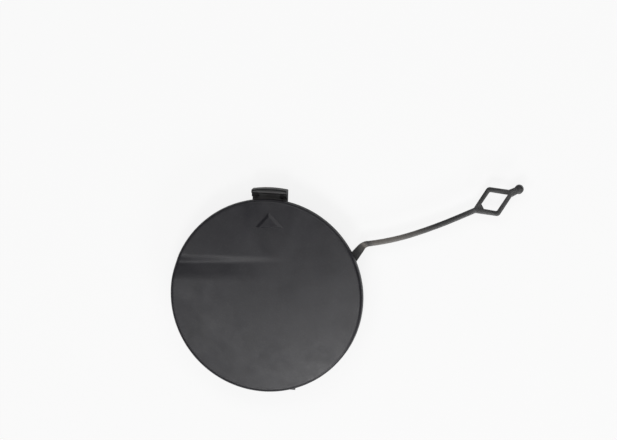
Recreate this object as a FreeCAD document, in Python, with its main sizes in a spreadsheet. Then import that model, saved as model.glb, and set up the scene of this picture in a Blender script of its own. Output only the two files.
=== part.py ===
"""Bumper tow hook cover: one moulding with a sculpted round face, a hooked tab, a snap clip and a tether.

Millimetres. The cover lies face up: +Z leaves the face, +Y runs to the hooked tab and +X to the tether.
The origin is the centre of the flat ring behind the rim, which seats on the bumper skin.
"""
import FreeCAD, Part
import math
import os
import Sketcher

V = FreeCAD.Vector

# Driving dimensions, in millimetres and degrees
DIMENSIONS = {
    # face
    "rim_radius": 36.0,
    "rim_height": 3.0,
    "dome_radius": 300.0,
    "edge_round": 1.1,
    "skin": 2.4,
    # fold across the face: the bend under it, and the groove that fades out towards the middle
    "bend_line": 7.3,
    "fold_root": 12.6,
    "fold_top": 15.4,
    "fold_end": 8.0,
    "fold_end_root": 13.6,
    "fold_end_top": 14.6,
    "fold_depth": 1.1,
    "fold_slant": 3.35,
    "upper_slope": 0.03,
    "upper_slope_right": 0.008,
    # skirt and ribs behind the face
    "rim_ledge": 4.0,
    "skirt_wall": 1.6,
    "skirt_depth": 9.0,
    "skirt_draft": 0.2,
    "rib_wall": 1.4,
    "rib_depth": 1.0,
    # raised arrow on the face
    "arrow_base": 10.4,
    "arrow_offset": 0.5,
    "arrow_height": 5.5,
    "arrow_inset": 10.1,
    "arrow_rise": 0.45,
    "arrow_flank": 1.0,
    # hooked tab at the top
    "tab_width": 13.0,
    "tab_offset": -0.5,
    "tab_overhang": 3.7,
    "tab_drop": 2.5,
    "tab_wall": 1.8,
    "lip_wall": 1.9,
    "lip_top": 0.5,
    "lip_edge": 0.45,
    "gusset_wall": 2.4,
    # snap clip at the bottom
    "clip_width": 21.0,
    "clip_wall": 1.6,
    "clip_slot": 1.4,
    "barb_overhang": 0.1,
    "barb_drop": 4.5,
    # tether: a tapered root, a tight bend, two long bends and a straight run to the loop
    "tether_angle": 22.9,
    "tether_drop": 3.9,
    "tether_wall": 1.3,
    "tether_width": 1.9,
    "root_heading": 53.5,
    "root_run": 4.7,
    "root_width": 4.6,
    "root_tip": 2.85,
    "root_top": 2.3,
    "root_wall": 2.4,
    "bend_radius": 4.0,
    "bend_turn": 43.5,
    "near_radius": 92.0,
    "near_turn": 11.0,
    "far_radius": 190.0,
    "far_turn": 5.2,
    "end_run": 7.1,
    "loop_turn": 2.4,
    "loop_length": 15.2,
    "loop_width": 9.5,
    "loop_lean": 0.5,
    "loop_stroke": 1.65,
    "loop_cut": 1.0,
    "loop_round": 1.5,
    "loop_round_inside": 0.8,
    "bulb_radius": 1.65,
    "bulb_reach": 3.0,
    "bulb_wall": 1.9,
    "bulb_neck": 2.3,
    # stock round the sculpted block, how far one form is sunk into the next, and the softness of the fold
    "stock": 4.0,
    "sunk": 0.4,
    "soft": 1.2,
}

doc = FreeCAD.newDocument("tow_hook_cover")
size = doc.addObject("Spreadsheet::Sheet", "size")
for row, (alias, number) in enumerate(DIMENSIONS.items(), 1):
    size.set(f"A{row}", alias)
    size.set(f"B{row}", str(number))
    size.setAlias(f"B{row}", alias)
doc.recompute()

body = doc.addObject("PartDesign::Body", "tow_hook_cover")
body.Label = "tow_hook_cover"


def value(text):
    """The number that a formula on the sheet's cells gives."""
    return float(size.evalExpression(text))


def sketch(name, role, base=("0", "0", "0"), turn=None):
    """A sketch on one of the body's own planes, moved from its centre by three formulas, and turned."""
    made = body.newObject("Sketcher::SketchObject", name)
    plane = next(item for item in body.Origin.OriginFeatures if item.Role == role)
    made.AttachmentSupport = [(plane, "")]
    made.MapMode = "FlatFace"
    made.AttachmentOffset = FreeCAD.Placement(V(0, 0, 0), turn or FreeCAD.Rotation())
    for axis, text in zip("xyz", base):
        made.setExpression(f"AttachmentOffset.Base.{axis}", text)
    return made


def tie(made, kind, text, *where):
    """Adds a dimension to a sketch and ties it to its formula."""
    number = made.addConstraint(Sketcher.Constraint(kind, *where, value(text)))
    made.renameConstraint(number, f"{kind.lower()}_{number}")
    made.setExpression(f"Constraints.{kind.lower()}_{number}", text)


def pin(made, edge, point, spot):
    """Ties a point of an edge to its formulas across and up from the sketch's origin."""
    tie(made, "DistanceX", spot[0], -1, 1, edge, point)
    tie(made, "DistanceY", spot[1], -1, 1, edge, point)


def at(spot):
    return V(value(spot[0]), value(spot[1]), 0)


def outline(made, spots):
    """A closed outline of straight edges through spots, each given by its two formulas."""
    first = made.GeometryCount
    places = [at(spot) for spot in spots]
    for start, end in zip(places, places[1:] + places[:1]):
        made.addGeometry(Part.LineSegment(start, end), False)
    for index, spot in enumerate(spots):
        before = first + (index - 1) % len(spots)
        made.addConstraint(Sketcher.Constraint("Coincident", before, 2, first + index, 1))
        pin(made, first + index, 1, spot)


def feature(kind, name, profile, **settings):
    """A feature of the body on a sketch, with numbers set and texts tied to the sheet."""
    made = body.newObject(f"PartDesign::{kind}", name)
    made.Profile = profile
    for key, setting in settings.items():
        if isinstance(setting, str) and setting.startswith("="):
            made.setExpression(key, setting[1:])
        else:
            setattr(made, key, setting)
    doc.recompute()
    return made


def rounded(name, radius, wanted):
    """Rounds the edges of the body so far that pass a test at both ends and in the middle."""
    base = body.Tip
    chosen = []
    for number, edge in enumerate(base.Shape.Edges, 1):
        first, last = edge.ParameterRange
        if all(wanted(edge.valueAt(place)) for place in (first, (first + last) / 2, last)):
            chosen.append(f"Edge{number}")
    made = body.newObject("PartDesign::Fillet", name)
    made.Base = (base, chosen)
    made.setExpression("Radius", radius)
    doc.recompute()
    return made


def near(number, text):
    """Is a number within a hundredth of a millimetre of a formula?"""
    return abs(number - value(text)) < 0.01


# Sculpted face: sections across it, lofted from side to side
REACH = "(size.rim_radius + size.stock)"


def face_section(name, across, fade):
    """A section of the face at one distance across it, where fade is the share of the fold left there.

    The dome, the ledge below the fold, its riser and the tilted upper face follow one another as three
    curves that meet in line, because each joint is the middle of its two neighbouring poles.
    """
    shift = f"({across}) * tan(size.fold_slant)"
    line = f"(size.bend_line + {shift})"
    root = f"(size.fold_end_root + {fade} * (size.fold_root - size.fold_end_root) + {shift})"
    top = f"(size.fold_end_top + {fade} * (size.fold_top - size.fold_end_top) + {shift})"
    slope = f"(size.upper_slope_right + {fade} * (size.upper_slope - size.upper_slope_right))"
    depth = f"({fade} * size.fold_depth)"
    span = f"({root} - {line})"
    riser = f"({top} - {root})"

    def dome(y):
        crown = "size.rim_height + size.rim_radius^2 / (2 * size.dome_radius)"
        return f"{crown} - (({across})^2 + ({y})^2) / (2 * size.dome_radius)"

    def low(y):
        return (y, dome(y))

    def ledge(share):
        y = f"({line} + {share} * {span})"
        return (y, f"{dome(y)} - {share} * ({slope} * {span} + {depth})")

    def rise(share):
        y = f"({root} + {share} * {riser})"
        fall = f"({slope} * ({span} + {share} * {riser}) + (1 - {share}) * {depth})"
        return (y, f"{dome(y)} - {fall}")

    def high(y):
        return (y, f"{dome(y)} - {slope} * (({y}) - {line})")

    def joint(before, after):
        return tuple(f"(({one}) + ({other})) / 2" for one, other in zip(before, after))

    bend = [low(f"({line} - 3 * size.soft)"), low(f"({line} - size.soft)")]
    crest = [high(f"({top} + size.soft)"), high(f"({top} + 3 * size.soft)")]
    lower = [low(f"-{REACH}"), low("-0.6 * size.rim_radius"), low("-0.25 * size.rim_radius"), bend[0]]
    fold = [bend[1], low(line), ledge(0.25), ledge(0.85), rise(0), rise(0.3), rise(0.7), rise(1), crest[0]]
    upper = [crest[1], high("0.72 * size.rim_radius"), high(REACH)]
    first, second = joint(*bend), joint(*crest)

    made = sketch(name, "YZ_Plane", ("0", "0", across))
    floor = "-(size.skirt_depth + size.stock)"
    curves = []
    for poles in (lower + [first], [first] + fold + [second], [second] + upper):
        curve = Part.BSplineCurve([at(spot) for spot in poles], None, None, False, 3, None, False)
        edge = made.addGeometry(curve, False)
        made.exposeInternalGeometry(edge)
        free = poles[-1] in (first, second)
        for number, spot in enumerate(poles[:-1] if free else poles):
            pin(made, edge + 1 + number, 3, spot)
        curves.append(edge)
    corners = [upper[-1], (REACH, floor), (f"-{REACH}", floor), lower[0]]
    places = [at(spot) for spot in corners]
    first_line = made.GeometryCount
    for start, end in zip(places, places[1:]):
        made.addGeometry(Part.LineSegment(start, end), False)
    chain = curves + [first_line, first_line + 1, first_line + 2]
    for edge, following in zip(chain, chain[1:] + chain[:1]):
        made.addConstraint(Sketcher.Constraint("Coincident", edge, 2, following, 1))
    pin(made, first_line, 2, corners[1])
    pin(made, first_line + 1, 2, corners[2])
    return made


fold_run = f"(size.fold_end + {REACH})"
fades = {1: 1, 0.75: 0.74, 0.5: 0.47, 0.3: 0.26, 0.12: 0.08, 0: 0, -0.25: 0, -0.5: 0}
sections = []
for share, fade in fades.items():
    across = f"(size.fold_end - {share} * {fold_run})"
    sections.append(face_section(f"section_{len(sections)}", across, fade))
sections.append(face_section(f"section_{len(sections)}", REACH, 0))
doc.recompute()
block = feature("AdditiveLoft", "sculpted_block", sections[0], Sections=sections[1:], Ruled=False)

# Rim wall, seating ring, skirt and hollow back, turned from the block
SKIRT = "(size.rim_radius - size.rim_ledge)"
inner = f"({SKIRT} - size.skirt_wall)"
roof_middle = "(size.rim_height - size.skin + size.rim_radius^2 / (2 * size.dome_radius))"
roof_side = f"({roof_middle} - {inner}^2 / (2 * size.dome_radius))"
behind = "-(size.skirt_depth + 2 * size.stock)"
above = "(size.rim_height + size.rim_radius^2 / size.dome_radius)"
outside = f"(2 * {REACH})"
turned = sketch("turned_profile", "XZ_Plane")
spots = [
    (inner, roof_side),
    (f"{inner} + size.skirt_draft", "-size.skirt_depth"),
    (f"{SKIRT} - size.skirt_draft", "-size.skirt_depth"),
    (SKIRT, "0"),
    ("size.rim_radius", "0"),
    ("size.rim_radius", above),
    (outside, above),
    (outside, behind),
    ("0", behind),
    ("0", roof_middle),
]
outline(turned, spots)
doc.recompute()
feature("Groove", "turned_back", turned, ReferenceAxis=(turned, ["V_Axis"]), Angle=360)


# Raised arrow that points to the tab: two flanks slope, the base stands steep
arrow_side = "sqrt(size.arrow_base^2 / 4 + size.arrow_height^2)"
arrow_middle = "(size.rim_radius - size.arrow_inset + size.arrow_height / 3)"
arrow_fall = f"({arrow_middle} / size.dome_radius + size.upper_slope_right)"
arrow_slant = FreeCAD.Rotation(V(0, 0, 1), value("size.fold_slant"))
arrow_tilt = FreeCAD.Rotation(V(1, 0, 0), -value(f"atan({arrow_fall})")) * arrow_slant
crown = "(size.rim_height + size.rim_radius^2 / (2 * size.dome_radius))"
arrow_face = (
    f"{crown} - {arrow_middle}^2 / (2 * size.dome_radius)"
    f" - size.upper_slope_right * ({arrow_middle} - size.bend_line)"
)


def arrow_outline(name, lift, flank, step):
    """The arrow's outline, drawn in by flank from its two sides and by step from its base."""
    base = ("size.arrow_offset", arrow_middle, f"{arrow_face} + {lift}")
    made = sketch(name, "XY_Plane", base, arrow_tilt)
    narrower = f"{flank} * {arrow_side} / size.arrow_height"
    lower = f"{flank} * {arrow_side} * 2 / size.arrow_base"
    half_base = f"(size.arrow_base / 2 * (1 - {step} / size.arrow_height) - {narrower})"
    foot = f"{step} - size.arrow_height / 3"
    tip = f"size.arrow_height * 2 / 3 - {lower}"
    outline(made, [(f"-{half_base}", foot), (half_base, foot), ("0", tip)])
    return made


wider = "(-size.arrow_flank * size.sunk / size.arrow_rise)"
arrow_foot = arrow_outline("arrow_foot", "-size.sunk", wider, f"({wider} / 4)")
arrow_top = arrow_outline("arrow_top", "size.arrow_rise", "size.arrow_flank", "size.arrow_flank / 4")
doc.recompute()
feature("AdditiveLoft", "arrow", arrow_foot, Sections=[arrow_top], Ruled=True)

# Crossed ribs that stiffen the face from behind
long = f"({inner} + size.sunk)"
short = f"({inner} - 1.5 * size.stock)"
thin = "(size.rib_wall / 2)"
ribs = sketch("rib_cross", "XY_Plane", ("0", "0", "-size.rib_depth"))
outline(ribs, [
    (f"-{long}", f"-{thin}"), (f"-{thin}", f"-{thin}"), (f"-{thin}", f"-{short}"), (thin, f"-{short}"),
    (thin, f"-{thin}"), (long, f"-{thin}"), (long, thin), (thin, thin),
    (thin, long), (f"-{thin}", long), (f"-{thin}", thin), (f"-{long}", thin),
])
doc.recompute()
feature("Pad", "ribs", ribs, Type="UpToFirst")

# Snap clip: a gap in the skirt, and a springy plate with a barb that faces outwards
gap_side = "(size.clip_width / 2 + size.clip_slot)"
gap = sketch("clip_gap", "XY_Plane")
outline(gap, [
    (f"-{gap_side}", f"-{REACH}"), (gap_side, f"-{REACH}"),
    (gap_side, f"-({inner} - size.stock)"), (f"-{gap_side}", f"-({inner} - size.stock)"),
])
doc.recompute()
whole = body.Shape.Volume
feature("Pocket", "clip_gap_cut", gap, Type="Length", Length="=size.skirt_depth * 2")
assert body.Shape.Volume < whole, "the gap for the clip cuts nothing"

wall_middle = f"({SKIRT} - size.skirt_wall / 2)"
clip_back = f"-({wall_middle} - size.clip_wall)"
clip_front = f"-{wall_middle}"
clip_root = f"({roof_side} + size.sunk)"
barb = "-(size.rim_radius + size.barb_overhang)"
clip = sketch("clip_profile", "YZ_Plane")
outline(clip, [
    (clip_back, clip_root),
    (clip_back, "-size.skirt_depth"),
    (f"{clip_front} + size.clip_wall / 3", "-size.skirt_depth"),
    (barb, "-(size.barb_drop + size.clip_wall / 2 + size.clip_wall / 4)"),
    (barb, "-(size.barb_drop + size.clip_wall / 4)"),
    (clip_front, "-size.barb_drop"),
    (clip_front, clip_root),
])
doc.recompute()
feature("Pad", "clip", clip, Midplane=True, Length="=size.clip_width")

# Hooked tab: a tongue under the rim, a lip that turns up past it and a gusset at each end
TAB = "(size.rim_radius + size.tab_overhang)"
lip_inside = f"({TAB} - size.lip_wall)"
tab_floor = "-(size.tab_drop + size.tab_wall)"
tab = sketch("tab_profile", "YZ_Plane", ("0", "0", "size.tab_offset"))
outline(tab, [
    (f"{SKIRT} - 2 * size.sunk", "-size.tab_drop"),
    (lip_inside, "-size.tab_drop"),
    (lip_inside, "size.lip_top - size.lip_edge"),
    (f"{lip_inside} + size.lip_edge", "size.lip_top"),
    (f"{TAB} + size.stock", "size.lip_top"),
    (f"{TAB} + size.stock", tab_floor),
    (f"{SKIRT} - 2 * size.sunk", tab_floor),
])
doc.recompute()
feature("Pad", "tab", tab, Midplane=True, Length="=size.tab_width")
for side, name in ((-1, "left"), (1, "right")):
    tab_side = f"size.tab_offset + {side} * size.tab_width / 2"
    gusset = sketch(f"gusset_{name}", "YZ_Plane", ("0", "0", tab_side))
    outline(gusset, [
        ("size.rim_radius + size.sunk", "-size.tab_drop - size.sunk"),
        (f"{lip_inside} + size.sunk", "-size.tab_drop - size.sunk"),
        (f"{lip_inside} + size.sunk", "size.lip_top - size.lip_wall / 2"),
        ("size.rim_radius + size.sunk", "size.lip_top - size.lip_wall * 3 / 4"),
    ])
    doc.recompute()
    feature("Pad", f"gusset_pad_{name}", gusset, Length="=size.gusset_wall", Reversed=side > 0)
trim = sketch("tab_trim", "XZ_Plane")
trim_top, trim_floor = "(size.lip_top + size.lip_edge)", f"({tab_floor} - size.lip_edge)"
trim_side = f"({TAB} + 3 * size.stock)"
outline(trim, [
    (TAB, "size.lip_top - size.lip_edge"), (f"{TAB} - 2 * size.lip_edge", trim_top),
    (trim_side, trim_top), (trim_side, trim_floor),
    (f"{TAB} - 2 * size.lip_edge", trim_floor), (TAB, f"{tab_floor} + size.lip_edge"),
])
doc.recompute()
feature("Groove", "tab_end", trim, ReferenceAxis=(trim, ["V_Axis"]), Angle=360)

# Tether: its centre line is laid out step by step from the skirt, as formulas


def straight(place, length):
    """The place reached by one straight step: x, y and heading."""
    x, y, heading = place
    return (f"{x} + {length} * cos({heading})", f"{y} + {length} * sin({heading})", heading)


def swing(place, radius, turn, side):
    """The place reached along an arc, to the left for a side of 1 and to the right for -1."""
    x, y, heading = place
    after = f"({heading} + {side} * {turn})"
    x = f"{x} + {side} * {radius} * (sin({after}) - sin({heading}))"
    y = f"{y} - {side} * {radius} * (cos({after}) - cos({heading}))"
    return (x, y, after)


def beside(place, side):
    """The spot on the ribbon's edge, to the left of a place for a side of 1."""
    x, y, heading = place
    half = f"{side} * size.tether_width / 2"
    return (f"{x} - {half} * sin({heading})", f"{y} + {half} * cos({heading})")


def flat_turn(heading):
    """Turns a sketch on the flat plane to a heading."""
    return FreeCAD.Rotation(V(0, 0, 1), value(heading))


def facing(heading):
    """Turns an upright sketch to face along a heading."""
    return FreeCAD.Rotation(V(0, 1, 0), value(heading))


leaving = (f"{wall_middle} * cos(size.tether_angle)", f"{wall_middle} * sin(size.tether_angle)")
start = (*leaving, "size.root_heading")
root_length = "(size.rim_ledge + size.root_run)"
root_base = "-(size.root_top + size.root_wall)"
root = sketch("tether_root", "XY_Plane", (*leaving, root_base), flat_turn("size.root_heading"))
skew = "(size.root_width / 2 * tan(size.root_heading - size.tether_angle))"
stub = "(size.rim_ledge * 0.8)"
outline(root, [
    (f"-{skew}", "-size.root_width / 2"), (stub, "-size.root_width * 0.46"),
    (stub, "size.root_width * 0.46"), (skew, "size.root_width / 2"),
])
doc.recompute()
feature("Pad", "tether_root_pad", root, Length="=size.root_wall")

def between(one, other, share):
    return f"({one} + {share} * ({other} - {one}))"


def taper_section(name, place, width, top, wall):
    """An upright rectangle across the tether at a place on its line, hung from its top."""
    x, y, heading = place
    made = sketch(name, "YZ_Plane", (y, f"-{top}", x), facing(heading))
    left, right = f"-{width} / 2", f"{width} / 2"
    outline(made, [(left, f"-{wall}"), (right, f"-{wall}"), (right, "0"), (left, "0")])
    return made


bend_start = straight(start, root_length)
bend_middle = swing(bend_start, "size.bend_radius", "(size.bend_turn / 2)", -1)
bend_end = swing(bend_start, "size.bend_radius", "size.bend_turn", -1)
thick = ("size.root_tip", "(size.root_top + size.sunk / 2)", "(size.root_wall * 0.8)")
strap_top = "(size.tether_drop - size.tether_wall / 2 - size.sunk / 6)"
thin_end = ("(size.tether_width + size.sunk / 5)", strap_top, "(size.tether_wall + size.sunk / 3)")
inside_width = "(size.root_width * 0.85)"
root_inside = (inside_width, "(size.root_top + size.sunk / 4)", "(size.root_wall - size.sunk / 2)")
halfway = (between(one, other, 0.6) for one, other in zip(thick, thin_end))
tapers = [
    taper_section("taper_0", straight(start, f"({stub} - 2 * size.sunk)"), *root_inside),
    taper_section("taper_1", bend_start, *thick),
    taper_section("taper_2", bend_middle, *halfway),
    taper_section("taper_3", bend_end, *thin_end),
]
doc.recompute()
feature("AdditiveLoft", "tether_root_taper", tapers[0], Sections=[tapers[1]], Ruled=True)
feature("AdditiveLoft", "tether_taper", tapers[1], Sections=tapers[2:], Ruled=False)

places = [straight(bend_end, "-size.sunk"), bend_end]
places.append(swing(places[-1], "size.near_radius", "size.near_turn", 1))
places.append(swing(places[-1], "size.far_radius", "size.far_turn", 1))
places.append(straight(places[-1], "size.end_run"))
bends = {1: ("size.near_radius", 1), 2: ("size.far_radius", 1)}

ribbon = sketch("tether_outline", "XY_Plane", ("0", "0", "-(size.tether_drop + size.tether_wall / 2)"))
sides = [(beside(place, -1), step, -1) for step, place in enumerate(places)]
sides += [(beside(place, 1), step, 1) for step, place in reversed(list(enumerate(places)))]
joints = []
for (one, step, side), (two, following, _) in zip(sides, sides[1:] + sides[:1]):
    span = min(step, following)
    if step != following and span in bends:
        radius, curve = bends[span]
        reach = f"({radius} - {side * curve} * size.tether_width / 2)"
        x, y, heading = places[span]
        centre = at((f"{x} - {curve} * {radius} * sin({heading})", f"{y} + {curve} * {radius} * cos({heading})"))
        headings = [value(place[2]) for place in places[span:span + 2]]
        angles = sorted(math.radians(turned - 90 * curve) for turned in headings)
        arc = Part.ArcOfCircle(Part.Circle(centre, V(0, 0, 1), value(reach)), *angles)
        edge = ribbon.addGeometry(arc, False)
        joints.append((edge, 1, 2) if side * curve < 0 else (edge, 2, 1))
        tie(ribbon, "Radius", reach, edge)
    else:
        edge = ribbon.addGeometry(Part.LineSegment(at(one), at(two)), False)
        joints.append((edge, 1, 2))
    pin(ribbon, edge, joints[-1][1], one)
for before, after in zip(joints, joints[1:] + joints[:1]):
    ribbon.addConstraint(Sketcher.Constraint("Coincident", before[0], before[2], after[0], after[1]))
doc.recompute()
feature("Pad", "tether", ribbon, Length="=size.tether_wall")

loop_place = places[-1][:2]
loop_heading = f"({places[-1][2]} + size.loop_turn)"
lean = "atan(size.loop_width / size.loop_length)"
point_out = f"(size.loop_stroke / 2 / sin({lean}))"
side_out = f"(size.loop_stroke / 2 / cos({lean}))"
mid, side_reach = "(size.loop_length / 2)", "(size.loop_width / 2)"
cut_in = f"({point_out} + size.loop_cut / tan({lean}))"
loop_base = "-(size.tether_drop + size.tether_wall / 2)"
loop = sketch("loop_outline", "XY_Plane", (*loop_place, loop_base), flat_turn(loop_heading))
right, left = f"({mid} - size.loop_lean)", f"({mid} + size.loop_lean)"
outline(loop, [
    (f"-{point_out}", "0"), (right, f"-({side_reach} + {side_out})"),
    (f"size.loop_length + {point_out}", "0"), (left, f"{side_reach} + {side_out}"),
])
outline(loop, [
    (cut_in, "-size.loop_cut"), (right, f"-({side_reach} - {side_out})"),
    (f"size.loop_length - {point_out}", "0"), (left, f"{side_reach} - {side_out}"),
    (cut_in, "size.loop_cut"),
])
doc.recompute()
feature("Pad", "loop", loop, Length="=size.tether_wall")


def on_loop(along, aside):
    """A test for the upright edge of the loop at a spot along and aside of its heading."""
    turned = flat_turn(loop_heading).multVec(at((along, aside)))
    spot = at(loop_place) + turned
    return lambda point: abs(point.x - spot.x) < 0.05 and abs(point.y - spot.y) < 0.05


def either(one, other):
    return lambda point: one(point) or other(point)


wide, slim = f"({side_reach} + {side_out})", f"({side_reach} - {side_out})"
rounded("loop_round_out", "size.loop_round", either(on_loop(right, f"-{wide}"), on_loop(left, wide)))
rounded("loop_round_in", "size.loop_round_inside", either(on_loop(right, f"-{slim}"), on_loop(left, slim)))

# Neck and round end of the loop
neck_wall = "((size.tether_wall + size.bulb_wall) / 2)"
neck_base = f"-(size.tether_drop + {neck_wall} / 2)"
neck = sketch("neck_outline", "XY_Plane", (*loop_place, neck_base), flat_turn(loop_heading))
neck_start, neck_end = "(size.loop_length - size.sunk)", "(size.loop_length + size.bulb_reach)"
outline(neck, [
    (neck_start, "-size.bulb_neck * 0.6"), (neck_end, "-size.bulb_neck / 2"),
    (neck_end, "size.bulb_neck / 2"), (neck_start, "size.bulb_neck * 0.6"),
])
doc.recompute()
feature("Pad", "neck", neck, Length=f"={neck_wall}")
bulb_base = "-(size.tether_drop + size.bulb_wall / 2)"
bulb = sketch("bulb_outline", "XY_Plane", (*loop_place, bulb_base), flat_turn(loop_heading))
bulb_middle = (neck_end, "0")
ring = bulb.addGeometry(Part.Circle(at(bulb_middle), V(0, 0, 1), value("size.bulb_radius")), False)
pin(bulb, ring, 3, bulb_middle)
tie(bulb, "Radius", "size.bulb_radius", ring)
doc.recompute()
feature("Pad", "bulb", bulb, Length="=size.bulb_wall")


# Rounded rim of the face, all the way round


def on_rim(point):
    radius = math.hypot(point.x, point.y)
    return point.z > value("size.rim_height") / 3 and near(radius, "size.rim_radius")


rounded("rim_round", "size.edge_round", on_rim)

for item in doc.Objects:
    if "Invalid" in item.State or "Error" in item.State:
        raise RuntimeError(f"{item.Name} is {item.State}")
if body.Shape.isNull() or not body.Shape.isValid():
    raise RuntimeError(f"{body.Label} has no sound shape")
os.makedirs("parts", exist_ok=True)
body.Shape.exportStep(f"parts/{body.Label}.step")
print(f"{body.Label}: {len(body.Shape.Solids)} solid, {body.Shape.Volume / 1000:.2f} cm3")
print(body.Shape.BoundBox)
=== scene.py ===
"""Looks of a bumper tow hook cover: one satin black moulding on a pale floor.

Metres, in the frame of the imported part: +Z leaves the sculpted face, +Y runs to the hooked tab and
+X to the tether. The cover lies on the end of its skirt.
"""
import math

import bmesh
import bpy
import numpy as np
from mathutils import Matrix, Vector

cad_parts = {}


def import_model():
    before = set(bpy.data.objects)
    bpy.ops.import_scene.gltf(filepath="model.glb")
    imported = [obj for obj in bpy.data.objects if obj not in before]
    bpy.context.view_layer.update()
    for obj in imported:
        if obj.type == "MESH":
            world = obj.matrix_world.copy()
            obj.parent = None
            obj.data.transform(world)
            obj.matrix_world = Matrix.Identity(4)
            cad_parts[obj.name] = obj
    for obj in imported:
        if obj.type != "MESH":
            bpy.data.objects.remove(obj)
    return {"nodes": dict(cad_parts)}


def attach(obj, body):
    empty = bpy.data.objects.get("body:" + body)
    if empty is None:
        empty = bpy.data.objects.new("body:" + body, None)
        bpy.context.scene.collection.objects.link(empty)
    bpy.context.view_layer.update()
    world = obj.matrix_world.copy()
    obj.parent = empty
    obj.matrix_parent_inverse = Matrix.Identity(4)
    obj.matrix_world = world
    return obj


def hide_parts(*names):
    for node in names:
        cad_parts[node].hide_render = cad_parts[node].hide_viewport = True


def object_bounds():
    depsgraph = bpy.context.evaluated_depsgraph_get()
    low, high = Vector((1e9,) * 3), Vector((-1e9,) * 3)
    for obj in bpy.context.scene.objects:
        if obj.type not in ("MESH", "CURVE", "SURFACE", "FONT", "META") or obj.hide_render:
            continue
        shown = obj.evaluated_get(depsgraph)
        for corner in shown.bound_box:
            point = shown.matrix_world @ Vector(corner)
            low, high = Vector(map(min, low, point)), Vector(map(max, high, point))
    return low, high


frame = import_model()
cad_low, cad_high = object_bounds()
COVER = frame["nodes"]["tow_hook_cover"]

MM = 0.001

# Softened edges: what counts as one point, as flat and as a sharp edge, and the round along an edge
MERGE_REACH = 0.001 * MM
FLAT_ANGLE = math.radians(0.3)
SHARP_ANGLE = math.radians(28)
EDGE_ROUND = 0.2 * MM

# Colours: the grained face and the bare back, a rubbed edge, painted light on the tether, and dust, whose
# colour also paints light on the shaded floor of the tab's channel
FACE_BLACK = (0.0155, 0.0149, 0.0192)
BARE_BLACK = (0.019, 0.0187, 0.0192)
RUBBED = (0.045, 0.044, 0.045, 1)
PAINTED_TETHER_LIGHT = (0.17, 0.155, 0.14, 1)
DUST_AND_CHANNEL_LIGHT = (0.13, 0.127, 0.127, 1)

# How strongly rubbed edges, painted light on the tether and painted light on the tab's channel floor show
RUBBED_SHARE, TETHER_LIGHT_SHARE, CHANNEL_LIGHT_SHARE = 0.35, 0.8, 0.9

# Cloudy patterns, each with its scale, detail and roughness
TONE_CLOUDS = (120, 5, 0.62)
GLOSS_CLOUDS = (150, 4, 0.6)
DUST_CLOUDS = (70, 4, 0.6)
DUST_SPECKS = (1900, 1, 0.5)
TETHER_LIGHT_CLOUDS = (300, 2, 0.5)

# The face, in millimetres and degrees: its rim, its dome, the fold that fades out and the raised arrow
RIM_RADIUS, RIM_HEIGHT, DOME_RADIUS, RIM_ROUND = 36.0, 3.0, 300.0, 1.1
FOLD_SLANT, FOLD_END, FOLD_RUN, FOLD_FADE = 3.35, 8.0, 48.0, 1.1
BEND_LINE, FOLD_DEPTH = 7.3, 1.1
FOLD_ROOT, FOLD_ROOT_AT_END = 12.6, 13.6
FOLD_TOP, FOLD_TOP_AT_END = 15.4, 14.6
UPPER_SLOPE, UPPER_SLOPE_RIGHT = 0.03, 0.008
BEND_SOFT, ROOT_SOFT, TOP_SOFT = 1.7, 0.75, 0.85
ARROW_BASE, ARROW_HEIGHT, ARROW_INSET, ARROW_OFFSET = 10.4, 5.5, 10.1, 0.5
ARROW_RISE, ARROW_FLANK, ARROW_STEP = 0.45, 1.0, 0.32
ARROW_BLEND, ARROW_CORNER = 0.07, 0.16
ARROW_FOOT = RIM_RADIUS - ARROW_INSET

# Grid of the face: spokes round it, and rings on the face, its round, its wall and the small round behind
FACE_SPOKES, FACE_RINGS, ROUND_RINGS, WALL_RINGS, EDGE_RINGS = 400, 120, 8, 5, 3

# Where the grid is denser: the centre, the reach and how much, for spokes towards the arrow and towards the
# deep end of the fold, and for rings over the whole arrow and along its foot
DENSE_SPOKES = [(math.radians(90), math.radians(12), 5), (math.radians(161), math.radians(14), 2.5)]
DENSE_RINGS = [(ARROW_FOOT + ARROW_HEIGHT / 2, 3.4, 3), (ARROW_FOOT, 0.9, 4)]

# The solid's front, which is taken off: how far its faces look up, how high they lie, and its outer wall
FRONT_LOOKS_UP, FRONT_FROM = 0.05, 1 * MM
FRONT_WALL = ((RIM_RADIUS - 0.5) * MM, (RIM_RADIUS + 0.02) * MM)

# The floor of the channel in the tab, where light in the colour of dust is painted over its shade
CHANNEL_FROM, CHANNEL_HALF_WIDTH = 30 * MM, 8 * MM
CHANNEL_HEIGHTS = (-3 * MM, -2 * MM)

# From inside the skirt to outside it, as distances from the middle of the seat
SKIRT_SPAN = (31 * MM, 35 * MM)

# The painted light on the tether: where its long stretch begins, is full, fades and ends along +X, and how
# far that wanders. A painted highlight lies across the diagonal of +X and +Y, this far out, and has a full
# core, an edge and a faint halo, each measured from its middle.
TETHER_LIGHT_FROM, TETHER_LIGHT_FULL, TETHER_LIGHT_FADING, TETHER_LIGHT_END = 38 * MM, 41.5 * MM, 48 * MM, 64 * MM
TETHER_LIGHT_WANDER = 4 * MM
HIGHLIGHT_OUT, HIGHLIGHT_CORE, HIGHLIGHT_EDGE = 39.2 * MM, 0.2 * MM, 1.2 * MM
HALO_FROM, HALO_END = 1 * MM, 3.4 * MM

# Camera: its direction from the cover, its roll, and where the middle of the face falls in the picture
PICTURE_WIDTH, PICTURE_HEIGHT = 617, 440
MM_PER_PIXEL = 0.3689
FACE_MIDDLE_PIXEL = (266.86, 295.40)
FACE_MIDDLE = Vector((0, 0, 1 * MM))
CAMERA_AZIMUTH, CAMERA_ELEVATION, CAMERA_ROLL = 135.6, 76.2, 1.67
LENS, FILM_WIDTH = 300.0, 36.0


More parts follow.
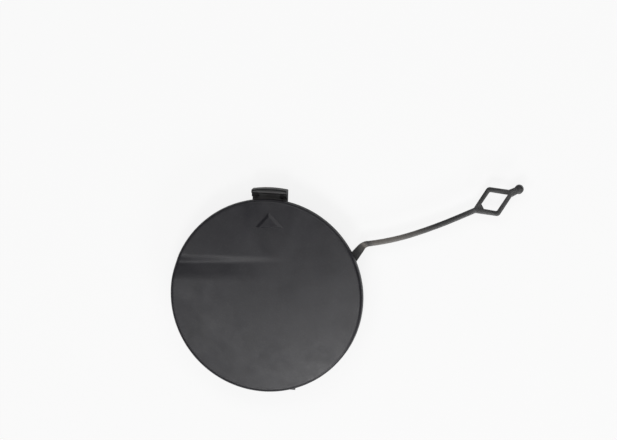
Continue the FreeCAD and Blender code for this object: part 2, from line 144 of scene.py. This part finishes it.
def ramp(distance, soft):
    """Nothing before a line and the distance past it after, with a parabola over a soft stretch."""
    middle = (distance + soft) ** 2 / (4 * soft)
    return np.where(distance > soft, distance, np.where(distance < -soft, 0, middle))


def arrow_height(x, y):
    """The raised arrow: the least of three slopes in from its sides, held between its foot and its top.

    A side's slope is the distance inside it, over the width of its flank. The least of the three is a
    soft one, so that the corners between the flanks are round too.
    """
    slant = math.radians(FOLD_SLANT)
    x, y = x - ARROW_OFFSET, y - ARROW_FOOT - ARROW_HEIGHT / 3
    across = x * math.cos(slant) + y * math.sin(slant)
    up = y * math.cos(slant) - x * math.sin(slant) + ARROW_HEIGHT / 3
    side = math.hypot(ARROW_BASE / 2, ARROW_HEIGHT)
    slopes = [up / ARROW_STEP]
    for way in (-1, 1):
        inside = ((ARROW_BASE / 2 - way * across) * ARROW_HEIGHT - up * ARROW_BASE / 2) / side
        slopes.append(inside / ARROW_FLANK)
    least = -ARROW_BLEND * np.log(sum(np.exp(-np.clip(slope, -2, 3) / ARROW_BLEND) for slope in slopes))
    return ARROW_RISE * (ramp(least, ARROW_CORNER) - ramp(least - 1, ARROW_CORNER))


def face_height(x, y):
    """Height of the face: the dome, less the fall of the fold, plus the arrow.

    The fall is three soft ramps in a row: down along the ledge from the bend, up the riser from its root,
    and level with the tilted upper face from its top. The fold's depth fades with a power of the distance
    from its end, and all its lines slant a little across the face.
    """
    dome = RIM_HEIGHT + (RIM_RADIUS**2 - x**2 - y**2) / (2 * DOME_RADIUS)
    fade = np.clip((FOLD_END - x) / FOLD_RUN, 0, 1) ** FOLD_FADE
    shift = x * math.tan(math.radians(FOLD_SLANT))
    bend = BEND_LINE + shift
    root = FOLD_ROOT_AT_END + fade * (FOLD_ROOT - FOLD_ROOT_AT_END) + shift
    top = FOLD_TOP_AT_END + fade * (FOLD_TOP - FOLD_TOP_AT_END) + shift
    slope = UPPER_SLOPE_RIGHT + fade * (UPPER_SLOPE - UPPER_SLOPE_RIGHT)
    depth = fade * FOLD_DEPTH
    ledge = slope + depth / (root - bend)
    riser = slope - depth / (top - root)
    fall = ledge * ramp(y - bend, BEND_SOFT)
    fall += (riser - ledge) * ramp(y - root, ROOT_SOFT) + (slope - riser) * ramp(y - top, TOP_SOFT)
    return dome - fall + arrow_height(x, y)


def spaced(low, high, count, dense):
    """Places from low to high, closer together where it is dense.

    The density is one, plus a bell curve for each dense stretch: its centre, its reach and its height.
    """
    fine = np.linspace(low, high, 4000)
    density = 1 + sum(more * np.exp(-(((fine - centre) / reach) ** 2)) for centre, reach, more in dense)
    passed = np.concatenate([[0], np.cumsum((density[1:] + density[:-1]) / 2)])
    return np.interp(np.linspace(0, passed[-1], count + 1), passed, fine)


def face_surface():
    """The face in polar form: rings of the height field, then the round, the wall and the edge of the rim.

    Each ring has a radius and a drop. The drop is none on the face, follows a quarter circle over the
    round, and on the wall it runs on to the back of the rim, where a second, small quarter turns in.
    """
    angles = spaced(0, 2 * math.pi, FACE_SPOKES, DENSE_SPOKES)[:-1]
    inner = spaced(0, RIM_RADIUS - RIM_ROUND, FACE_RINGS, DENSE_RINGS)[1:]
    turn = np.linspace(0, math.pi / 2, ROUND_RINGS + 1)[1:]
    radii = np.concatenate([inner, RIM_RADIUS - RIM_ROUND * (1 - np.sin(turn))])
    drops = np.concatenate([inner * 0, RIM_ROUND * (1 - np.cos(turn))])
    x, y = radii[:, None] * np.cos(angles), radii[:, None] * np.sin(angles)
    z = face_height(x, y) - drops[:, None]
    share = np.linspace(0, 1, WALL_RINGS + 1)[1:, None]
    small = EDGE_ROUND / MM
    wall_z = z[-1] + share * (small - z[-1])
    turn = np.linspace(0, math.pi / 2, EDGE_RINGS + 1)[1:, None]
    edge_radius = RIM_RADIUS - small * (1 - np.cos(turn))
    edge_z = small * (1 - np.sin(turn)) + 0 * angles
    x = np.vstack([x, np.repeat(x[-1:], WALL_RINGS, 0), edge_radius * np.cos(angles)])
    y = np.vstack([y, np.repeat(y[-1:], WALL_RINGS, 0), edge_radius * np.sin(angles)])
    z = np.vstack([z, wall_z, edge_z])
    points = np.stack([x, y, z], -1).reshape(-1, 3)
    middle = np.array([[0, 0, face_height(np.zeros(1), np.zeros(1))[0]]])
    ring, spoke = np.meshgrid(np.arange(len(x) - 1), np.arange(FACE_SPOKES), indexing="ij")
    following = (spoke + 1) % FACE_SPOKES
    corners = [ring * FACE_SPOKES + spoke, (ring + 1) * FACE_SPOKES + spoke]
    corners += [(ring + 1) * FACE_SPOKES + following, ring * FACE_SPOKES + following]
    quads = 1 + np.stack(corners, -1).reshape(-1, 4)
    first = np.arange(FACE_SPOKES)
    fan = np.stack([0 * first, 1 + first, 1 + (first + 1) % FACE_SPOKES], -1)
    mesh = bpy.data.meshes.new("face")
    mesh.from_pydata((np.vstack([middle, points]) * MM).tolist(), [], fan.tolist() + quads.tolist())
    return mesh


def is_front(face):
    """Does a face of the solid belong to the sculpted side or to the outer wall of the rim?"""
    middle = face.calc_center_median()
    on_top = face.normal.z > FRONT_LOOKS_UP and middle.z > FRONT_FROM
    on_wall = middle.z > 0 and FRONT_WALL[0] < math.hypot(middle.x, middle.y) < FRONT_WALL[1]
    return on_top or on_wall


def in_channel(face):
    """Does a face lie on the floor of the channel in the tab?"""
    middle = face.calc_center_median()
    on_floor = CHANNEL_HEIGHTS[0] < middle.z < CHANNEL_HEIGHTS[1] and face.normal.z > 0.9
    return on_floor and middle.y > CHANNEL_FROM and abs(middle.x) < CHANNEL_HALF_WIDTH


def rounded_back(node):
    """The solid's sides and back, with an open ring where its front was.

    The solid's mesh is copied and merged, and its flat areas are joined to single faces, so that a round
    runs straight along its edge. The rounds carry 1 in the attribute "edge", and the floor of the tab's
    channel, which gets painted light, carries 1 in "sheltered".
    """
    shell = bmesh.new()
    shell.from_mesh(node.data)
    rubbed = shell.faces.layers.float.new("edge")
    channel_light = shell.faces.layers.float.new("channel_light")
    bmesh.ops.remove_doubles(shell, verts=shell.verts, dist=MERGE_REACH)
    front = [face for face in shell.faces if is_front(face)]
    bmesh.ops.delete(shell, geom=front, context="FACES")
    bmesh.ops.dissolve_limit(shell, angle_limit=FLAT_ANGLE, verts=shell.verts, edges=shell.edges)
    sharp = [edge for edge in shell.edges if edge.is_manifold and edge.calc_face_angle() > SHARP_ANGLE]
    rounds = bmesh.ops.bevel(
        shell, geom=sharp, offset=EDGE_ROUND, offset_type="OFFSET", segments=2,
        profile=0.5, affect="EDGES", clamp_overlap=True, loop_slide=True,
    )
    for face in rounds["faces"]:
        face[rubbed] = 1.0
    for face in shell.faces:
        face.material_index = 1
        # The floor of the tab's channel is marked for painted light
        face[channel_light] = float(in_channel(face))
    return shell


def dressed_moulding(node, name):
    """The whole moulding: the worked-out face in front of the solid's back with its rounded edges.

    The open ring of the back is drawn in, to sit inside the small round behind the rim, and is bridged to
    the ring at the end of that round.
    """
    shell = rounded_back(node)
    open_ring = [edge for edge in shell.edges if edge.is_boundary]
    drawn_in = 1 - 2.5 * EDGE_ROUND / (RIM_RADIUS * MM)
    for point in {corner for edge in open_ring for corner in edge.verts}:
        point.co.x *= drawn_in
        point.co.y *= drawn_in
    before = set(shell.edges)
    shell.from_mesh(face_surface())
    rim_ring = [edge for edge in shell.edges if edge not in before and edge.is_boundary]
    bmesh.ops.bridge_loops(shell, edges=open_ring + rim_ring)
    bmesh.ops.recalc_face_normals(shell, faces=shell.faces)
    for face in shell.faces:
        face.smooth = True
    for edge in shell.edges:
        edge.smooth = edge.calc_face_angle(0) < SHARP_ANGLE
    bmesh.ops.triangulate(shell, faces=[face for face in shell.faces if len(face.verts) > 4])
    mesh = bpy.data.meshes.new(name)
    shell.to_mesh(mesh)
    shell.free()
    piece = bpy.data.objects.new(name, mesh)
    bpy.context.collection.objects.link(piece)
    return piece


def group(name, inputs, outputs):
    """A node group with named sockets: its tree, and the nodes at its two ends."""
    tree = bpy.data.node_groups.new(name, "ShaderNodeTree")
    for label, kind, start in inputs:
        socket = tree.interface.new_socket(label, in_out="INPUT", socket_type=kind)
        socket.default_value = start
    for label, kind in outputs:
        tree.interface.new_socket(label, in_out="OUTPUT", socket_type=kind)
    return tree, tree.nodes.new("NodeGroupInput"), tree.nodes.new("NodeGroupOutput")


def feed(tree, socket, source):
    """Gives a socket a number, or joins it to another node's output."""
    if isinstance(source, (int, float)):
        socket.default_value = source
    else:
        tree.links.new(source, socket)


def clouds(tree, vector, scale, detail, roughness):
    """A noise texture on a vector, whose factor wanders about one half."""
    noise = tree.nodes.new("ShaderNodeTexNoise")
    settings = (("Vector", vector), ("Scale", scale), ("Detail", detail), ("Roughness", roughness))
    for name, source in settings:
        feed(tree, noise.inputs[name], source)
    return noise.outputs["Fac"]


def ranged(tree, source, low, high, to_low, to_high):
    """A value carried in a straight line from one range to another, and held at its ends."""
    node = tree.nodes.new("ShaderNodeMapRange")
    names = ("Value", "From Min", "From Max", "To Min", "To Max")
    for name, number in zip(names, (source, low, high, to_low, to_high)):
        feed(tree, node.inputs[name], number)
    return node.outputs["Result"]


def sums(tree, kind, *values):
    """One step of arithmetic on one or two values, each a socket or a number."""
    node = tree.nodes.new("ShaderNodeMath")
    node.operation = kind
    for socket, source in zip(node.inputs, values):
        feed(tree, socket, source)
    return node.outputs[0]


def painted(tree, under, over, share):
    """One colour over another, by a share."""
    mix = tree.nodes.new("ShaderNodeMix")
    mix.data_type = "RGBA"
    mix.inputs["B"].default_value = over
    tree.links.new(under, mix.inputs["A"])
    tree.links.new(share, mix.inputs["Factor"])
    return mix.outputs["Result"]


def attribute(tree, name):
    """A number that the mesh carries."""
    node = tree.nodes.new("ShaderNodeAttribute")
    node.attribute_name = name
    return node.outputs["Fac"]


def mould_grain():
    """The fine eroded grain that the mould leaves: heights for a bump, coarse pits under a fine fleck."""
    tree, start, end = group(
        "mould_grain",
        [("Vector", "NodeSocketVector", (0, 0, 0)), ("Scale", "NodeSocketFloat", 4000.0)],
        [("Height", "NodeSocketFloat")],
    )
    scale = start.outputs["Scale"]
    fine = clouds(tree, start.outputs["Vector"], scale, 2, 0.5)
    coarse = clouds(tree, start.outputs["Vector"], sums(tree, "MULTIPLY", scale, 0.3), 2, 0.5)
    tree.links.new(sums(tree, "ADD", fine, sums(tree, "MULTIPLY", coarse, 0.6)), end.inputs["Height"])


def settled_dust():
    """A thin film of dust: patchy, speckled, and only on what faces up."""
    tree, start, end = group(
        "settled_dust",
        [("Vector", "NodeSocketVector", (0, 0, 0)), ("Amount", "NodeSocketFloat", 0.5)],
        [("Mask", "NodeSocketFloat")],
    )
    patches = ranged(tree, clouds(tree, start.outputs["Vector"], *DUST_CLOUDS), 0.38, 0.68, 0, 1)
    specks = ranged(tree, clouds(tree, start.outputs["Vector"], *DUST_SPECKS), 0.56, 0.72, 0, 1)
    normal = tree.nodes.new("ShaderNodeNewGeometry")
    parts = tree.nodes.new("ShaderNodeSeparateXYZ")
    tree.links.new(normal.outputs["Normal"], parts.inputs["Vector"])
    upward = ranged(tree, parts.outputs["Z"], 0.3, 0.95, 0, 1)
    film = sums(tree, "ADD", sums(tree, "MULTIPLY", patches, 0.7), sums(tree, "MULTIPLY", specks, 0.5))
    amount = sums(tree, "MULTIPLY", sums(tree, "MULTIPLY", film, upward), start.outputs["Amount"])
    tree.links.new(amount, end.inputs["Mask"])


def tether_light_mask(tree, place):
    """How much painted light the tether gets.

    There is a long painted stretch with rough ends past the bend, and a bright painted highlight with a
    faint halo across the root, just before the bend.
    """
    parts = tree.nodes.new("ShaderNodeSeparateXYZ")
    tree.links.new(place, parts.inputs["Vector"])
    wander = sums(tree, "MULTIPLY", clouds(tree, place, *TETHER_LIGHT_CLOUDS), TETHER_LIGHT_WANDER)
    along = sums(tree, "ADD", parts.outputs["X"], wander)
    rising = ranged(tree, along, TETHER_LIGHT_FROM, TETHER_LIGHT_FULL, 0, 1)
    falling = ranged(tree, along, TETHER_LIGHT_FADING, TETHER_LIGHT_END, 1, 0)
    outward = sums(tree, "MULTIPLY", sums(tree, "ADD", parts.outputs["X"], parts.outputs["Y"]), 0.5**0.5)
    off_highlight = sums(tree, "ABSOLUTE", sums(tree, "SUBTRACT", outward, HIGHLIGHT_OUT))
    highlight = ranged(tree, off_highlight, HIGHLIGHT_CORE, HIGHLIGHT_EDGE, 1.25, 0)
    halo = ranged(tree, off_highlight, HALO_FROM, HALO_END, 0.36, 0)
    bright = sums(tree, "MAXIMUM", highlight, halo)
    return sums(tree, "MAXIMUM", sums(tree, "MULTIPLY", rising, falling), bright)


def black_plastic(name, base, dusty, gloss, grain_scale, grain_height):
    """Moulded black plastic: cloudy colour and gloss, paler where rubbed, painted light on the tether and on
    the floor of the tab's channel, dust and a fine grain.

    The colour wanders from 0.8 to 1.25 times the base, and the roughness between the two of the gloss. Dust
    makes it rougher.
    """
    material = bpy.data.materials.new(name)
    material.use_nodes = True
    tree = material.node_tree
    shader = tree.nodes["Principled BSDF"]
    shader.inputs["IOR"].default_value = 1.5
    place = tree.nodes.new("ShaderNodeTexCoord").outputs["Object"]

    dust = tree.nodes.new("ShaderNodeGroup")
    dust.node_tree = bpy.data.node_groups["settled_dust"]
    dust.inputs["Amount"].default_value = dusty
    tree.links.new(place, dust.inputs["Vector"])
    grain = tree.nodes.new("ShaderNodeGroup")
    grain.node_tree = bpy.data.node_groups["mould_grain"]
    grain.inputs["Scale"].default_value = grain_scale
    tree.links.new(place, grain.inputs["Vector"])

    tone = tree.nodes.new("ShaderNodeValToRGB")
    tone.color_ramp.elements[0].position, tone.color_ramp.elements[1].position = 0.3, 0.72
    tone.color_ramp.elements[0].color = (*(0.8 * part for part in base), 1)
    tone.color_ramp.elements[1].color = (*(1.25 * part for part in base), 1)
    tree.links.new(clouds(tree, place, *TONE_CLOUDS), tone.inputs["Fac"])
    rub = sums(tree, "MULTIPLY", attribute(tree, "edge"), RUBBED_SHARE)
    rubbed = painted(tree, tone.outputs["Color"], RUBBED, rub)
    # Painted light on the tether: a long paler stretch past the bend and a painted highlight across its root
    tether_lit = painted(tree, rubbed, PAINTED_TETHER_LIGHT, sums(tree, "MULTIPLY", tether_light_mask(tree, place), TETHER_LIGHT_SHARE))
    # Painted light in the colour of dust on the shaded floor of the tab's channel, laid with the real dust
    channel_lift = sums(tree, "MULTIPLY", attribute(tree, "channel_light"), CHANNEL_LIGHT_SHARE)
    dusted_and_lifted = painted(tree, tether_lit, DUST_AND_CHANNEL_LIGHT, sums(tree, "MAXIMUM", dust.outputs["Mask"], channel_lift))
    tree.links.new(dusted_and_lifted, shader.inputs["Base Color"])

    shine = ranged(tree, clouds(tree, place, *GLOSS_CLOUDS), 0.3, 0.7, *gloss)
    duller = sums(tree, "ADD", shine, sums(tree, "MULTIPLY", dust.outputs["Mask"], 0.25))
    tree.links.new(duller, shader.inputs["Roughness"])
    bump = tree.nodes.new("ShaderNodeBump")
    bump.inputs["Strength"].default_value = 1.0
    bump.inputs["Distance"].default_value = grain_height
    tree.links.new(grain.outputs["Height"], bump.inputs["Height"])
    tree.links.new(bump.outputs["Normal"], shader.inputs["Normal"])
    return material


def camera():
    """A long lens from the photograph's side: across, up and back are the columns of its turn."""
    azimuth, elevation, roll = map(math.radians, (CAMERA_AZIMUTH, CAMERA_ELEVATION, CAMERA_ROLL))
    level = math.cos(elevation)
    back = Vector((math.sin(azimuth) * level, -math.cos(azimuth) * level, math.sin(elevation)))
    across = Vector((-math.sin(roll), math.cos(roll), 0)).cross(back).normalized()
    up = back.cross(across)
    width = PICTURE_WIDTH * MM_PER_PIXEL * MM
    distance = width / 2 / (FILM_WIDTH / 2 / LENS)
    aside = (PICTURE_WIDTH / 2 - FACE_MIDDLE_PIXEL[0]) * MM_PER_PIXEL * MM
    above = (FACE_MIDDLE_PIXEL[1] - PICTURE_HEIGHT / 2) * MM_PER_PIXEL * MM
    made = bpy.data.objects.new("camera", bpy.data.cameras.new("camera"))
    made.data.lens, made.data.sensor_width, made.data.sensor_fit = LENS, FILM_WIDTH, "HORIZONTAL"
    made.data.clip_start, made.data.clip_end = 0.01, 20
    turn = Matrix((across, up, back)).transposed().to_4x4()
    stand = FACE_MIDDLE + across * aside + up * above + back * distance
    made.matrix_world = Matrix.Translation(stand) @ turn
    bpy.context.collection.objects.link(made)
    bpy.context.scene.camera = made


def softbox(name, place, width, height, glow):
    """A rectangular area lamp that faces the cover: its place and size in metres, and its surface's glow."""
    lamp = bpy.data.lights.new(name, "AREA")
    lamp.shape, lamp.size, lamp.size_y = "RECTANGLE", width, height
    lamp.energy = math.pi * width * height * glow
    made = bpy.data.objects.new(name, lamp)
    made.location = place
    made.rotation_euler = (-Vector(place)).to_track_quat("-Z", "Y").to_euler()
    bpy.context.collection.objects.link(made)


def floor(reach):
    """A pale plane that the skirt stands on: white to the camera, with a soft shadow, and dark inside."""
    mesh = bpy.data.meshes.new("floor")
    corners = [(-reach, -reach), (reach, -reach), (reach, reach), (-reach, reach)]
    mesh.from_pydata([(x, y, cad_low.z) for x, y in corners], [], [(0, 1, 2, 3)])
    made = bpy.data.objects.new("floor", mesh)
    bpy.context.collection.objects.link(made)
    material = bpy.data.materials.new("pale_floor")
    material.use_nodes = True
    tree = material.node_tree
    paint = tree.nodes["Principled BSDF"]
    paint.inputs["Base Color"].default_value = (0.9, 0.9, 0.9, 1)
    paint.inputs["Roughness"].default_value = 0.9
    glow = tree.nodes.new("ShaderNodeEmission")
    glow.inputs["Strength"].default_value = 1.0
    mix = tree.nodes.new("ShaderNodeMixShader")
    path = tree.nodes.new("ShaderNodeLightPath")
    place = tree.nodes.new("ShaderNodeTexCoord")
    away = tree.nodes.new("ShaderNodeVectorMath")
    away.operation = "LENGTH"
    tree.links.new(place.outputs["Object"], away.inputs[0])
    outside = ranged(tree, away.outputs["Value"], SKIRT_SPAN[0], SKIRT_SPAN[1], 0, 0.85)
    share = sums(tree, "MULTIPLY", path.outputs["Is Camera Ray"], outside)
    tree.links.new(share, mix.inputs["Fac"])
    tree.links.new(paint.outputs["BSDF"], mix.inputs[1])
    tree.links.new(glow.outputs["Emission"], mix.inputs[2])
    tree.links.new(mix.outputs["Shader"], tree.nodes["Material Output"].inputs["Surface"])
    mesh.materials.append(material)


def world(strength):
    """An even, dim surround that is white to the camera."""
    made = bpy.data.worlds.new("surround")
    bpy.context.scene.world = made
    made.use_nodes = True
    tree = made.node_tree
    background = tree.nodes["Background"]
    background.inputs["Color"].default_value = (1, 1, 1, 1)
    path = tree.nodes.new("ShaderNodeLightPath")
    seen = ranged(tree, path.outputs["Is Camera Ray"], 0, 1, strength, 1)
    tree.links.new(seen, background.inputs["Strength"])


bpy.context.scene.view_settings.view_transform = "Standard"
mould_grain()
settled_dust()
face_plastic = black_plastic(
    "grained_face_plastic", FACE_BLACK, dusty=0.1, gloss=(0.33, 0.45),
    grain_scale=4000, grain_height=0.002 * MM,
)
bare_plastic = black_plastic(
    "bare_back_plastic", BARE_BLACK, dusty=0.06, gloss=(0.3, 0.38),
    grain_scale=2600, grain_height=0.0015 * MM,
)

moulding = dressed_moulding(COVER, "moulding")
moulding.data.materials.append(face_plastic)
moulding.data.materials.append(bare_plastic)
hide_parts("tow_hook_cover")
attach(moulding, "root")

camera()
floor(reach=6.0)
world(strength=0.06)
softbox("key_softbox", (0.04, -0.56, 0.95), width=0.36, height=0.3, glow=9.6)
softbox("left_softbox", (-0.4, -0.27, 1.0), width=0.5, height=0.2, glow=4.2)
softbox("right_softbox", (0.22, -0.2, 1.05), width=0.3, height=0.46, glow=2.8)
softbox("back_softbox", (0.16, 0.6, 0.9), width=1.3, height=0.4, glow=2.1)
softbox("rim_softbox", (0.52, -0.86, 0.5), width=0.5, height=0.3, glow=7.0)
